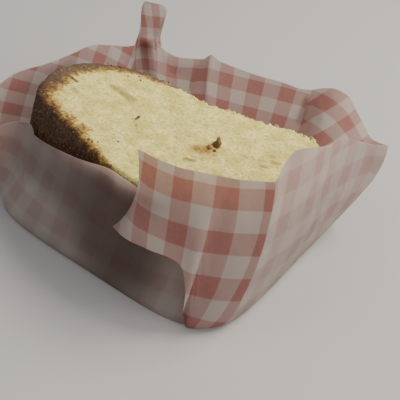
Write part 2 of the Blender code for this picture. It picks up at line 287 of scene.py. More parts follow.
sheet = {
    "thickness": 0.2,
    "weld": 0.02,
    "footMiddle": (-1.0, 11.5),
    "footHalf": (55.5, 49.5),
    "footSquareness": 5.0,
    "footBend": 7.0,
    "step": 1.05,
    "climbShare": 0.25,
    "rows": 44,
    "clearance": 1.5,
    "leansInFrom": 2.0,  # over the slice's top
    "earMiddle": (-53.0, 58.5),
    "earReach": 10.0,
    "earPinchHeight": 46.0,
    "earPinchSpread": 5.0,
    "earPinch": 0.2,
    "crumple": (11.0, 0.9),  # size and height of the soft waves in the sheet
    "creaseWaves": (3.6, 0.3),
    "folds": [  # start, end, half-width, height of each soft fold
        ((-44.2, 58.2, 37.5), (-27.1, 64.1, 37.2), 1.5, 1.5),
        ((-41.5, 58.9, 31.0), (-30.7, 61.9, 33.6), 1.6, -1.5),
        ((-25.5, 65.6, 42.3), (-31.2, 62.3, 22.0), 1.3, -1.6),
        ((57.1, -0.4, 53.5), (60.4, -11.3, 28.0), 1.3, 0.8),
        ((-56.3, 59.6, 42.0), (-50.5, 57.5, 22.0), 4.5, 2.6),
        ((25.2, 72.1, 45.6), (32.4, 76.8, 31.0), 1.2, 1.4),
        ((23.0, 71.2, 43.5), (27.5, 73.0, 29.0), 1.5, -1.5),
        ((-39.0, -26.0, 32.0), (-18.0, -34.5, 17.0), 1.3, 1.1),
        ((-47.0, -26.0, 34.0), (-33.0, -34.0, 12.0), 1.6, 1.3),
        ((-56.0, -32.0, 33.5), (-50.0, -35.0, 16.0), 1.5, 1.0),
    ],
    # Where the sheet is doubled in a pleat, with deeper print and painted shade in the pleat's
    # fold: start, end, half-width, strength.
    "doubledAndShaded": [((-55.6, 59.0, 37.0), (-50.5, 57.5, 24.0), 5.0, 0.9),
                ((24.0, 72.0, 40.0), (23.8, 71.6, 30.0), 2.6, 0.4)],
    "clings": (3.5, 9.0),  # gap to the crust in which the sheet stops clinging to it
    "clingsUpTo": (-2.0, 1.0),  # from the slice's top
    "looseLeft": 0.4,           # share of the clinging that is left towards the near left,
    "looseLeftAcross": (-40, 16),
    "looseRim": 0.65,           # and share that is left at the low wall's rim
    "looseRimDepth": (1, 9),
    "freeAcross": (22, 34),     # it stands away from the slice's right end
    "check": 7.07,
    "baseRings": (0.9, 0.75, 0.6, 0.4),
    "baseTolerance": 0.001,
    "wavesFrom": (1.0, 9.0),    # heights over which the soft waves set in
    "smoothAngle": 35,
    "printedOutside": ("nearFlap", "freeFlap"),
    "inkThroughBack": 0.2,
}

# The wall, run by run. foot: angles of its two ends on the foot. swell: how far it bellies out.
# edge: its upper edge. across and down: the printed grid's columns and rows, in checks, from the
# run's start on the foot: a start, then the growth by mm along, by mm up, and their squares.
wallRuns = [
    dict(name="nearLow", foot=(314, 222), swell=(0, 2), bend=(1.0, 7),
         across=(0.4, 0.141, 0), down=(6.3, 0, -0.141), edge=[
             (42, -23, 37), (34, -29, 40), (25, -33.4, 43), (13, -35.4, 46.4), (4, -34.8, 46.2),
             (-9, -33.8, 42.5), (-22, -31, 38.4), (-33, -27.8, 35.0), (-38.8, -25.7, 33.8)]),
    dict(name="nearLeftBump", foot=(222, 217), swell=(2, 4), bend=(7, 7),
         across=(13.6, 0.141, 0), down=(6.3, 0, -0.141), edge=[
             (-38.8, -25.7, 33.8), (-41.4, -25.5, 37.0), (-45.5, -26, 36.7),
             (-50, -27.5, 34.5), (-55, -31.5, 32), (-61, -34, 33)]),
    dict(name="leftEnd", foot=(217, 146), swell=(4, 1), bend=(7, 7),
         across=(-0.5248, 0.1035, -0.0313), down=(8.0142, -0.1078, -0.166), edge=[
             (-61, -34, 33), (-62.5, -25, 41), (-60.5, -15, 46.5), (-57.8, -4, 47.6),
             (-57, 6, 47.8), (-56.5, 14, 48.4), (-56, 22, 49), (-57, 34, 45.2), (-57.5, 46, 40.8),
             (-58, 54, 38.6)]),
    dict(name="ear", foot=(146, 133), swell=(-1, 0), bend=(7, 7),
         across=(-6.862, 0.2948, 0.0595), down=(9.7125, 0.0129, -0.1773), edge=[
             (-58, 54, 38.6), (-58.7, 56.8, 49), (-58.9, 58.5, 57.8), (-55, 60, 58.8),
             (-47.8, 61, 58.6), (-48.6, 59.5, 50), (-48, 58, 43)]),
    dict(name="farSide", foot=(133, 64), swell=(1, 1), bend=(7, 7),
         across=(-4.866, 0.1512, -0.0038), down=(5.156, 0.0227, -0.1452), edge=[
             (-48, 58, 43), (-44, 58, 40.8), (-37, 58.5, 40), (-30, 62, 40.7), (-26, 65, 41.6),
             (-24.3, 67, 43.6), (-19, 66, 43), (-8, 66.3, 43.3), (2, 68, 43.4), (12, 70, 44),
             (20, 71.5, 44), (25, 72, 45.4)]),
    dict(name="lobe", foot=(64, 38), swell=(1, 4), bend=(7, 7),
         across=(-5.672, 0.0236, 0.1352), down=(3.502, 0.1322, -0.0821), edge=[
             (25, 72, 45.4), (29, 76, 46.6), (34, 77.5, 47.6), (41, 74.5, 48), (47, 69, 47),
             (54, 62.5, 45.5), (60, 58, 44), (66, 61, 42.5)]),
    dict(name="rightSide", foot=(38, -22), swell=(4, 6), bend=(7, 7),
         across=(18.56, -0.141, -0.012), down=(7.4, 0, -0.1215), edge=[
             (66, 61, 42.5), (61, 52, 45), (57.5, 41, 50), (55.3, 29, 54), (55.5, 18, 57),
             (55.2, 10, 60), (54, 3, 62.5)]),
    dict(name="facet", foot=(-22, -36), swell=(6, 6.5), bend=(7, 7),
         across=(10.0, -0.141, -0.012), down=(7.4, 0, -0.1215), edge=[
             (54, 3, 62.5), (52.8, -4, 63.5), (52.6, -8, 60.8), (53.5, -14, 57.2)]),
    dict(name="nearFlap", foot=(-36, -46), swell=(6.5, 13), bend=(7, 7),
         across=(7.03217, -0.13616, -0.03038, -0.0012, 0.00084, 0.00031),
         down=(6.51399, 0.02639, -0.09017, 0.00009, -0.00054, -0.00037), edge=[
             (53.5, -14, 57.2), (49.5, -17, 57), (44.5, -21, 57), (42, -22.5, 57)]),
]
# The end of the flap hangs free of the foot and laps over the low wall.
freeFlap = dict(
    name="freeFlap", foot=-46, swell=(13, 5), bow=4.5, bowPower=3, across=wallRuns[-1]["across"],
    down=wallRuns[-1]["down"],
    edge=[(42, -22.5, 57), (39.5, -24, 57), (33.5, -27, 57), (28.5, -29.5, 57),
          (20, -31.3, 57), (13, -31.5, 57)],
    lowerEdge=[(43.2, -38.0, 9), (42.6, -38.2, 20), (38.5, -37.8, 28.5), (28, -40.3, 29.5),
               (20, -42, 30), (13.3, -41.5, 31)])


def footPoint(angle):
    c = math.cos(math.radians(angle))
    s = math.sin(math.radians(angle))
    a, b = sheet["footHalf"]
    power = sheet["footSquareness"]
    reach = (abs(c / a) ** power + abs(s / b) ** power) ** (-1 / power)
    out = np.array([math.copysign(abs(c * reach / a) ** (power - 1) / a, c),
                    math.copysign(abs(s * reach / b) ** (power - 1) / b, s), 0])
    place = np.array([sheet["footMiddle"][0] + reach * c, sheet["footMiddle"][1] + reach * s,
                      sheet["thickness"] / 2])
    return place, out / np.linalg.norm(out)


def bezier(a, b, c, d, count):
    v = np.linspace(0, 1, count + 1)[:, None]
    return (1 - v) ** 3 * a + 3 * (1 - v) ** 2 * v * b + 3 * (1 - v) * v ** 2 * c + v ** 3 * d


def wallColumn(foot, out, top, swell, bend):
    c = top + out * swell
    c[2] = (foot[2] + top[2]) / 2
    return bezier(foot, foot + out * bend, c, top, sheet["rows"])


def pinchEar(points):
    mx, my = sheet["earMiddle"]
    distance = np.hypot(points[:, 0] - mx, points[:, 1] - my)
    strength = sheet["earPinch"] * (1 - ramp(distance, sheet["earReach"] / 2, sheet["earReach"]))
    strength *= np.exp(-((points[:, 2] - sheet["earPinchHeight"]) / sheet["earPinchSpread"]) ** 2)
    moved = points.copy()
    moved[:, 0] += (mx - points[:, 0]) * strength
    moved[:, 1] += (my - points[:, 1]) * strength / 2
    return moved


# How far along a line from start to end each point is, as a share, and how far from it.
def alongLine(points, start, end):
    a, b = np.array(start, float), np.array(end, float)
    share = np.clip((points - a) @ (b - a) / ((b - a) @ (b - a)), 0, 1)
    return share, np.linalg.norm(points - (a + share[:, None] * (b - a)), axis=1)


# The strongest of some marks (start, end, half-width, strength) at each point. A mark has its full
# strength over the middle fifth of its width.
def lineMarks(points, marks):
    strongest = np.zeros(len(points))
    for start, end, width, strength in marks:
        _, distance = alongLine(points, start, end)
        strongest = np.maximum(strongest, strength * (1 - ramp(distance, 0.2 * width, width)))
    return strongest


def foldSheet(points, out):
    moved = points.copy()
    for start, end, width, height in sheet["folds"]:
        share, distance = alongLine(points, start, end)
        fade = np.sqrt(np.clip(4 * share * (1 - share), 0, 1))
        moved += out * (height * fade * np.exp(-(distance / width) ** 2))[:, None]
    return moved


# How far the sheet stands off the crust.
def crustGap(points):
    k, gap = outsideRing(points)
    return gap - crustSwell(ring[k, 0], ring[k, 1], points[:, 2])


def clearOfSlice(points):
    k, gap = outsideRing(points)
    wanted = crustSwell(ring[k, 0], ring[k, 1], points[:, 2]) + sheet["clearance"]
    leansIn = points[:, 2] > loaf["top"] + sheet["leansInFrom"]
    push = np.where(leansIn, 0, np.maximum(0, wanted - gap))
    moved = points.copy()
    moved[:, :2] += ringOut[k] * push[:, None]
    return moved


def sheetColumns():
    columns = []  # each: its points, its run's number
    for number, run in enumerate(wallRuns):
        edge = smoothCurve(run["edge"])
        spans = max(6, round(curveLength(edge, sheet["climbShare"])[-1] / sheet["step"]))
        tops = evenPoints(edge, spans, sheet["climbShare"])
        for k in range(spans):
            foot, out = footPoint(between(*run["foot"], k / spans))
            line = wallColumn(foot, out, tops[k], between(*run["swell"], k / spans),
                              between(*run["bend"], k / spans))
            line[1:] = clearOfSlice(foldSheet(pinchEar(line[1:]), out))
            columns.append((line, number))
    edge = smoothCurve(freeFlap["edge"])
    spans = round(curveLength(edge, sheet["climbShare"])[-1] / sheet["step"])
    tops = evenPoints(edge, spans, sheet["climbShare"])
    lower = evenPoints(smoothCurve(freeFlap["lowerEdge"]), spans - 1, sheet["climbShare"])
    foot, out = footPoint(freeFlap["foot"])
    first, last = freeFlap["swell"]
    line = wallColumn(foot, out, tops[0], first, sheet["footBend"])
    line[1:] = clearOfSlice(line[1:])
    columns.append((line, len(wallRuns)))
    for k in range(1, spans + 1):
        belly = out * between(first, last, k / spans) / 3
        # 4/3 moves the middle of the curve by the whole bow.
        belly[0] += freeFlap["bow"] * 4 / 3 * (k / spans) ** freeFlap["bowPower"]
        a = lower[k - 1]
        d = tops[k]
        line = bezier(a, between(a, d, 1 / 3) + belly, between(a, d, 2 / 3) + belly, d,
                      sheet["rows"])
        columns.append((clearOfSlice(line), len(wallRuns)))
    return columns


# Distances on the flat sheet: along the wall, and up each column. The flap's free side was bowed
# in, which takes its points back along the sheet.
def gridCoordinates(columns):
    rows = sheet["rows"]
    points = np.array([line for line, _ in columns])  # column, row, xyz
    firstFree = next(k for k, (_, number) in enumerate(columns) if number == len(wallRuns))
    steps = np.linalg.norm(np.diff(points[:, rows // 2], axis=0), axis=1)
    steps[firstFree:] = np.linalg.norm(np.diff(points[firstFree:, -1], axis=0), axis=1)
    along = np.repeat(np.concatenate([[0], np.cumsum(steps)])[:, None], rows + 1, axis=1)
    rise = np.linspace(0, 1, rows + 1)
    for k in range(firstFree + 1, len(columns)):
        share = (k - firstFree) / (len(columns) - 1 - firstFree)
        bow = freeFlap["bow"] * share ** freeFlap["bowPower"]
        along[k] -= 4 * bow * rise * (1 - rise)
    up = np.cumsum(np.linalg.norm(np.diff(points, axis=1), axis=2), axis=1)
    up = np.concatenate([np.zeros((len(columns), 1)), up], axis=1)
    for k in range(firstFree + 1, len(columns)):
        up[k] += up[firstFree, -1] - up[k, -1]
    return points, along, up


# The place of a point in the printed grid, where each check is one unit.
def printedAt(terms, u, v):
    return sum(term * power for term, power in zip(terms, (1, u, v, u * u, u * v, v * v)))


def addRelief(obj, name, size, height, group=""):
    pattern = bpy.data.textures.new(name, "CLOUDS")
    pattern.noise_scale = size * mm
    pattern.noise_basis = "ORIGINAL_PERLIN"
    pattern.noise_depth = 2
    relief = obj.modifiers.new(name, "DISPLACE")
    relief.texture = pattern
    relief.texture_coords = "LOCAL"
    relief.strength = height * mm
    relief.mid_level = 0.5
    relief.vertex_group = group


def addGroup(obj, name, weights):
    group = obj.vertex_groups.new(name=name)
    for index in np.nonzero(weights > 0.01)[0]:
        group.add([int(index)], float(weights[index]), "REPLACE")


# How much the sheet clings to the crust, from 0 to 1, where it takes up its grease.
def clinging(places):
    across = places[:, 0]
    height = places[:, 2]
    lowRim = np.array(wallRuns[0]["edge"])[::-1]
    belowRim = np.interp(across, lowRim[:, 0], lowRim[:, 2]) - height
    clings = 1 - ramp(crustGap(places), *sheet["clings"])
    clings *= 1 - ramp(height - loaf["top"], *sheet["clingsUpTo"])
    clings *= between(sheet["looseLeft"], 1, ramp(across, *sheet["looseLeftAcross"]))
    clings *= between(sheet["looseRim"], 1, ramp(belowRim, *sheet["looseRimDepth"]))
    return clings * (1 - ramp(across, *sheet["freeAcross"]))


# The base: the foot's edges are closed at the slit and drawn in to the middle. It has the printed
# grid of a flat sheet.
def closeBase(obj):
    mesh = obj.data
    pick(obj)
    bpy.ops.object.mode_set(mode="EDIT")
    bpy.ops.mesh.select_all(action="SELECT")
    bpy.ops.mesh.remove_doubles(threshold=sheet["weld"] * mm)
    bpy.ops.mesh.select_all(action="DESELECT")
    bpy.ops.object.mode_set(mode="OBJECT")
    footHeight = (sheet["thickness"] / 2 + sheet["baseTolerance"]) * mm
    for edge in mesh.edges:
        edge.select = all(mesh.vertices[v].co.z < footHeight for v in edge.vertices)
    for vertex in mesh.vertices:
        vertex.select = vertex.co.z < footHeight
    middle = toScene((*sheet["footMiddle"], sheet["thickness"] / 2))
    bpy.ops.object.mode_set(mode="EDIT")
    for share in sheet["baseRings"]:
        bpy.ops.mesh.extrude_edges_move()
        bpy.ops.transform.resize(value=(share, share, 1), center_override=middle)
    bpy.ops.mesh.merge(type="CENTER")
    bpy.ops.mesh.select_all(action="SELECT")
    bpy.ops.mesh.normals_make_consistent(inside=False)
    bpy.ops.object.mode_set(mode="OBJECT")

    places = fromScene(mesh)
    layer = mesh.uv_layers["sheet"].data
    for face in mesh.polygons:
        if all(mesh.vertices[v].co.z < footHeight for v in face.vertices):
            for loop, v in zip(face.loop_indices, face.vertices):
                layer[loop].uv = places[v, :2] / sheet["check"]


def makeSheet():
    columns = sheetColumns()
    points, along, up = gridCoordinates(columns)
    count, rows = len(columns), sheet["rows"]
    clearSelection()
    bpy.ops.mesh.primitive_grid_add(x_subdivisions=count - 1, y_subdivisions=rows, size=1)
    obj = bpy.context.object
    obj.name = "greaseproof_sheet"
    mesh = obj.data
    for n, vertex in enumerate(mesh.vertices):
        row, column = divmod(n, count)
        vertex.co = toScene(points[column, row])

    uv = mesh.uv_layers.active or mesh.uv_layers.new(name="sheet")
    uv.name = "sheet"
    runNumbers = mesh.attributes.new("run", "INT", "FACE")
    allRuns = wallRuns + [freeFlap]
    starts = [along[[number for _, number in columns].index(k), 0] for k in range(len(allRuns))]
    starts[-1] = starts[-2]  # the free flap carries on from the near flap
    for face in mesh.polygons:
        corners = [divmod(v, count) for v in face.vertices]
        number = columns[min(column for _, column in corners)][1]
        run = allRuns[number]
        runNumbers.data[face.index].value = number
        for loop, (row, column) in zip(face.loop_indices, corners):
            u = along[column, row] - starts[number]
            v = up[column, row]
            uv.data[loop].uv = (printedAt(run["across"], u, v), printedAt(run["down"], u, v))

    closeBase(obj)
    places = fromScene(mesh)
    mesh.attributes.new("clings", "FLOAT", "POINT").data.foreach_set("value", clinging(places))
    doubledAndShaded = lineMarks(places, sheet["doubledAndShaded"])
    mesh.attributes.new("doubledAndShaded", "FLOAT", "POINT").data.foreach_set("value", doubledAndShaded)
    addGroup(obj, "wall", ramp(places[:, 2], *sheet["wavesFrom"]))
    addRelief(obj, "crumple", *sheet["crumple"], group="wall")
    addRelief(obj, "creaseWaves", *sheet["creaseWaves"], group="wall")
    thickness = obj.modifiers.new("thickness", "SOLIDIFY")
    thickness.thickness = sheet["thickness"] * mm
    thickness.offset = 0
    sideFaces = len(mesh.polygons)
    applyAll(obj)
    markPrint(obj, sideFaces)
    bpy.ops.object.shade_smooth_by_angle(angle=math.radians(sheet["smoothAngle"]))
    return obj


# The sheet is printed on one side. The print shows fully there and faintly through the back.
def markPrint(obj, sideFaces):
    mesh = obj.data
    run = np.empty(len(mesh.polygons), int)
    mesh.attributes["run"].data.foreach_get("value", run)
    centre = np.empty(len(mesh.polygons) * 3)
    mesh.polygons.foreach_get("center", centre)
    normal = np.empty(len(mesh.polygons) * 3)
    mesh.polygons.foreach_get("normal", normal)
    outward = centre.reshape(-1, 3)[:, :2] / mm - sliceMiddle[:2] - sheet["footMiddle"]
    facing = np.sum(normal.reshape(-1, 3)[:, :2] * outward, axis=1)
    ink = np.full(len(mesh.polygons), sheet["inkThroughBack"])
    for number, name in enumerate([r["name"] for r in wallRuns] + ["freeFlap"]):
        for start in (0, sideFaces):  # the two faces of the sheet, one after the other
            part = start + np.nonzero(run[start:start + sideFaces] == number)[0]
            outside = facing[part].sum() > 0
            if outside == (name in sheet["printedOutside"]):
                ink[part] = 1.0
    mesh.attributes.new("ink", "FLOAT", "FACE").data.foreach_set("value", ink)


# Greaseproof paper, calendered and printed with a gingham check: waxy and grey-white, thin
# enough to let light and the dark crust through, with a broad soft sheen and fine crinkles.
greaseproof = {
    "plain": "dcd3cb",
    "oneStripe": "cdaea7",
    "bothStripes": "c0867f",
    "printEdge": 0.035,     # softness of the print's edge, in checks
    "inkMottle": 1.4,       # mm
    "crinkle": 2.6,         # mm
    # deep red of the doubled print together with the painted shade in the pleats
    "doubledAndShadedInk": "7c3a36",
    "roughness": 0.42,
    "translucent": 0.68,
    "clear": "fff6f3",
    "greasePatch": 15.0,    # mm
    "greased": "c2b6b2",    # grease darkens the sheet
    "greasedInk": 0.6,      # and leaves this share of the ink's strength
    "seeThrough": (0.10, 0.47),  # hanging free, and greased where it clings to the crust
}


def greaseproofPaper():
    made, tree = newMaterial("greaseproof_paper_printed")
    uv = addNode(tree, "ShaderNodeUVMap", uv_map="sheet")
    place = addNode(tree, "ShaderNodeTexCoord").outputs["Object"]
    parts = addNode(tree, "ShaderNodeSeparateXYZ", {"Vector": uv.outputs["UV"]})
    edge = greaseproof["printEdge"]
    stripes = []
    for axis in ("X", "Y"):  # a wave that is over one half inside every second check
        moved = addNode(tree, "ShaderNodeMath", {0: parts.outputs[axis]}, operation="ADD",
                        inputs={1: 0.5})
        wave = addNode(tree, "ShaderNodeMath", {0: moved.outputs[0]}, operation="PINGPONG",
                       inputs={1: 1.0})
        stripes.append(remap(tree, wave.outputs[0], 0.5 - edge, 0.5 + edge, kind="SMOOTHSTEP"))
    printed, clings, doubledAndShaded = (
        readAttribute(tree, name) for name in ("ink", "clings", "doubledAndShaded"))
    mottle = noise(tree, place, greaseproof["inkMottle"], 3.0)
    strength = remap(tree, mottle, 0.3, 0.7, 0.86, 1.0)
    for share in (printed, remap(tree, clings, 0.0, 1.0, 1.0, greaseproof["greasedInk"])):
        strength = combine(tree, "MULTIPLY", strength, share)
    colour = greaseproof["plain"]
    for overlap, ink in (("MAXIMUM", "oneStripe"), ("MULTIPLY", "bothStripes")):
        covered = combine(tree, "MULTIPLY", combine(tree, overlap, *stripes), strength)
        colour = mixColours(tree, covered, colour, greaseproof[ink])
    # The pleats: print deepened by the doubled sheet, plus painted shade where the pleat folds in.
    colour = mixColours(tree, doubledAndShaded, colour, greaseproof["doubledAndShadedInk"])
    colour = mixColours(tree, clings, colour, greaseproof["greased"], blend="MULTIPLY")

    crinkle = addNode(tree, "ShaderNodeTexVoronoi", {"Vector": place},
                      feature="DISTANCE_TO_EDGE", inputs={
                          "Scale": 1 / (greaseproof["crinkle"] * mm)})
    relief = bump(tree, crinkle.outputs["Distance"], 0.16, 0.6)
    fine = bump(tree, mottle, 0.2, 0.3, under=relief)
    shader = addNode(tree, "ShaderNodeBsdfPrincipled", {"Base Color": colour, "Normal": fine},
                     inputs={"Roughness": greaseproof["roughness"]})
    through = addNode(tree, "ShaderNodeBsdfTranslucent", {"Color": colour})
    glow = addNode(tree, "ShaderNodeMixShader", {1: shader.outputs[0], 2: through.outputs[0]},
                   inputs={0: greaseproof["translucent"]})
    clarity = remap(tree, clings, 0.0, 1.0, *greaseproof["seeThrough"])
    patches = noise(tree, place, greaseproof["greasePatch"], 2.0)
    seen = combine(tree, "MULTIPLY", clarity, remap(tree, patches, 0.35, 0.65, 0.9, 1.0))
    clear = addNode(tree, "ShaderNodeBsdfTransparent", inputs={
        "Color": linear(greaseproof["clear"])})
    mix = addNode(tree, "ShaderNodeMixShader", {0: seen, 1: glow.outputs[0],
                                                2: clear.outputs[0]})
    addNode(tree, "ShaderNodeOutputMaterial", {"Surface": mix.outputs[0]})
    return made


cake = {
    "weld": 0.01,
    "voxel": 0.56,
    "relief": [  # name, size and height of the pattern, and the part of the slice that has it
        ("crumbWave", 6.0, 0.5, "crumb"),
        ("crumbPores", 1.6, 0.55, "crumb"),
        ("crustWrinkles", 3.6, 1.3, "crust"),
        ("crustGrain", 1.3, 0.9, "crust"),
        ("raggedEdge", 1.6, 2.5, "ragged"),
    ],
    # Round the outline: a place on it, how far the dark crust reaches in over the upper face
    # (below zero it starts that far down the side), how dark it is baked, and its edge's fade.
    "crust": [
        ((-53.5, 2), 7.0, 0.88, 3.6), ((-51, -9), 7.8, 0.92, 3.6), ((-47.6, -14.6), 6.4, 0.97, 3.6),
        ((-43.5, -19.5), 4.2, 1.0, 3.9), ((-37, -22), 2.8, 1.0, 4.2), ((-27, -24.6), 2.0, 1.0, 4.4),
        ((-20, -27), 2.2, 1.0, 4.4), ((-16, -28.3), 2.8, 1.0, 4.0), ((-12, -29.4), 0.8, 1.0, 3.6),
        ((-5, -31), 1.4, 1.0, 3.2), ((-0.5, -32.4), -0.4, 1.0, 2.4), ((4.8, -33), -1.4, 1.0, 2.0),
        ((11.3, -33.2), -2.0, 0.95, 2.0), ((30, -29), -7, 0.9, 2.6), ((44, -18.5), -8, 0.8, 2.6),
        ((51.5, 8), -4, 0.65, 2.6), ((46, 34.5), -2.0, 0.5, 1.4), ((31, 32), -1.8, 0.5, 1.2),
        ((12, 27.3), -1.4, 0.5, 1.0), ((-4, 25.5), -0.6, 0.6, 1.4), ((-14, 26), 1.0, 0.78, 2.0),
        ((-26, 25.2), 2.8, 0.9, 2.5), ((-40, 21.2), 4.5, 0.91, 3.0), ((-50, 13), 6.4, 0.88, 3.4)],
    "downShare": 0.55,  # the crust deepens more slowly down the side
    "crustBelow": 2.5,
    "crustBlend": (-0.8, 0.8),  # crust depths over which the crumb's relief turns to the crust's
    "marksFrom": (-2.5, -1.0),  # heights over the upper face, over which its marks set in
    "flatUpTo": (0.5, 3.0),     # the lower cut face rests on the paper, flat
    "raggedFrom": (12, 22),     # the ragged far edge: where it sets in, going away,
    "raggedReach": (0.6, 2.6),  # how far in over the upper face it goes,
    "raggedDepth": (1, 4),      # and how far down
    # Stains and toasted spots on the upper face: start, end, half-width, strength.
    "toasted": [((18.4, -3.8), (20.6, -2.0), 4.6, 0.34), ((18.1, -2.2), (18.5, -1.6), 1.8, 0.24),
                ((24.1, -2.8), (24.5, -2.2), 1.6, 0.24), ((14.8, -4.2), (15.2, -4.0), 1.6, 0.16),
                ((21.2, 1.6), (21.9, 2.8), 2.2, 0.42),
                ((-42.0, 11.5), (-40.0, 13.5), 3.4, 0.22), ((-37.2, 18.0), (-35.8, 19.0), 1.5, 0.3),
                ((-32.5, 20.0), (-31.5, 20.4), 1.2, 0.3), ((-47.1, -0.6), (-41.6, -1.6), 1.1, 0.6)],
    # Dents and pores, darkened with a painted olive shade: start, end, half-width, strength.
    "shadedHollows": [((-30.3, 6.2), (-27.6, 5.8), 2.2, 0.8), ((-28, 5.8), (-22, 5.4), 1.6, 0.6),
                ((-25, 5.8), (-18.4, 4.8), 2.6, 0.75), ((-47.1, -0.6), (-41.0, -1.9), 1.0, 1.0),
                ((18.9, -11.5), (21.0, -10.6), 1.9, 1.0), ((39.6, 4.5), (41.0, 5.2), 1.6, 0.8),
                ((41.4, 9.7), (43.0, 10.4), 1.6, 0.7), ((25.5, 14.0), (26.5, 15.0), 1.2, 0.4),
                ((-38.5, -6.5), (-35.5, -8), 1.8, 0.65), ((8, 16), (10, 17), 1.2, 0.35),
                ((17.5, -4.5), (21.5, -1.5), 4.2, 0.75), ((30.5, -12), (33, -11), 1.5, 0.5)],
}


# For points on the slice: how deep in the crust (-1 before its edge, 1 after it), how dark that
# # is baked, toasted spots, the painted shade in hollows, the ragged far edge, and the height over
# the lower face.
def cakeFields(points):
    k, outside = outsideRing(points)
    inside = np.maximum(-outside, 0)
    below = np.maximum(loaf["top"] - points[:, 2], 0)
    above = np.maximum(points[:, 2] - loaf["bottom"], 0)

    marks = sorted((int(nearestOnRing(np.array([mark[0]], float))[0]), *mark[1:])
                   for mark in cake["crust"])
    stations = [mark[0] for mark in marks]
    reach, bake, fade = (np.interp(k, stations, [mark[n] for mark in marks],
                                   period=loaf["columns"]) for n in (1, 2, 3))
    depthInCrust = np.minimum(reach - inside + cake["downShare"] * below,
                              cake["crustBelow"] - inside + cake["downShare"] * above)
    onTop = ramp(-below, *cake["marksFrom"])
    toasted = onTop * lineMarks(points[:, :2], cake["toasted"])
    hollowShade = onTop * lineMarks(points[:, :2], cake["shadedHollows"])
    farEdge = (ramp(points[:, 1], *cake["raggedFrom"]) * (1 - ramp(inside, *cake["raggedReach"]))
               * (1 - ramp(below, *cake["raggedDepth"])))
    return {"crustDepth": depthInCrust / fade, "bake": bake, "toasted": toasted,
            "hollowShade": hollowShade, "farEdge": farEdge, "above": above}


def makeCake():
    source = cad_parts["cake_slice"]
    obj = bpy.data.objects.new("pound_cake", source.data.copy())
    bpy.context.scene.collection.objects.link(obj)
    pick(obj)
    bpy.ops.object.mode_set(mode="EDIT")
    bpy.ops.mesh.select_all(action="SELECT")
    bpy.ops.mesh.remove_doubles(threshold=cake["weld"] * mm)
    bpy.ops.object.mode_set(mode="OBJECT")
    remesh = obj.modifiers.new("remesh", "REMESH")
    remesh.mode = "VOXEL"
    remesh.voxel_size = cake["voxel"] * mm
    applyAll(obj)

    mesh = obj.data
    mesh.materials.clear()
    fields = cakeFields(fromScene(mesh))
    free = ramp(fields["above"], *cake["flatUpTo"])
    crust = ramp(fields["crustDepth"], *cake["crustBlend"])
    addGroup(obj, "crumb", (1 - crust) * free)
    addGroup(obj, "crust", crust * free)
    addGroup(obj, "ragged", fields["farEdge"])
    for name, size, height, part in cake["relief"]:
        addRelief(obj, name, size, height, group=part)
    applyAll(obj)
    obj.vertex_groups.clear()
    for name in ("crustDepth", "bake", "toasted", "hollowShade"):
        mesh.attributes.new(name, "FLOAT", "POINT").data.foreach_set("value", fields[name])
    pick(obj)
    bpy.ops.object.shade_smooth()
    return obj


# Butter cake, baked: an open matt crumb in pale yellow, full of fine pores, that browns through
# tan and orange-brown to a nearly black, wrinkled, slightly oily crust.
bakedCake = {
    "crumbPale": "e0d384",
    "crumbDeep": "c4b564",
    "pore": "998948",
    # colour of the painted olive shade in dents and pores
    "hollowShade": "8e7c44",
    "baking": [(0.0, "d3c387"), (0.16, "bba054"), (0.34, "907137"), (0.55, "684a24"),
               (0.78, "462e1a"), (1.0, "2f1e14")],
    "lightlyBaked": "5f4f41",
    # colour of the small pale specks of painted highlight on the crust
    "paintedGlint": "93806a",
    "tone": 5.0,          # mm, size of each pattern
    "poreSize": 1.3,
    "finePoreSize": 0.6,
    "patchSize": 4.5,
    "grainSize": 1.1,
    "speckleSize": 0.8,
    "paintedGlintSize": 1.5,
    "unevenEdge": (1.0, 0.8),  # how far each of the last two patterns moves the crust's edge
}


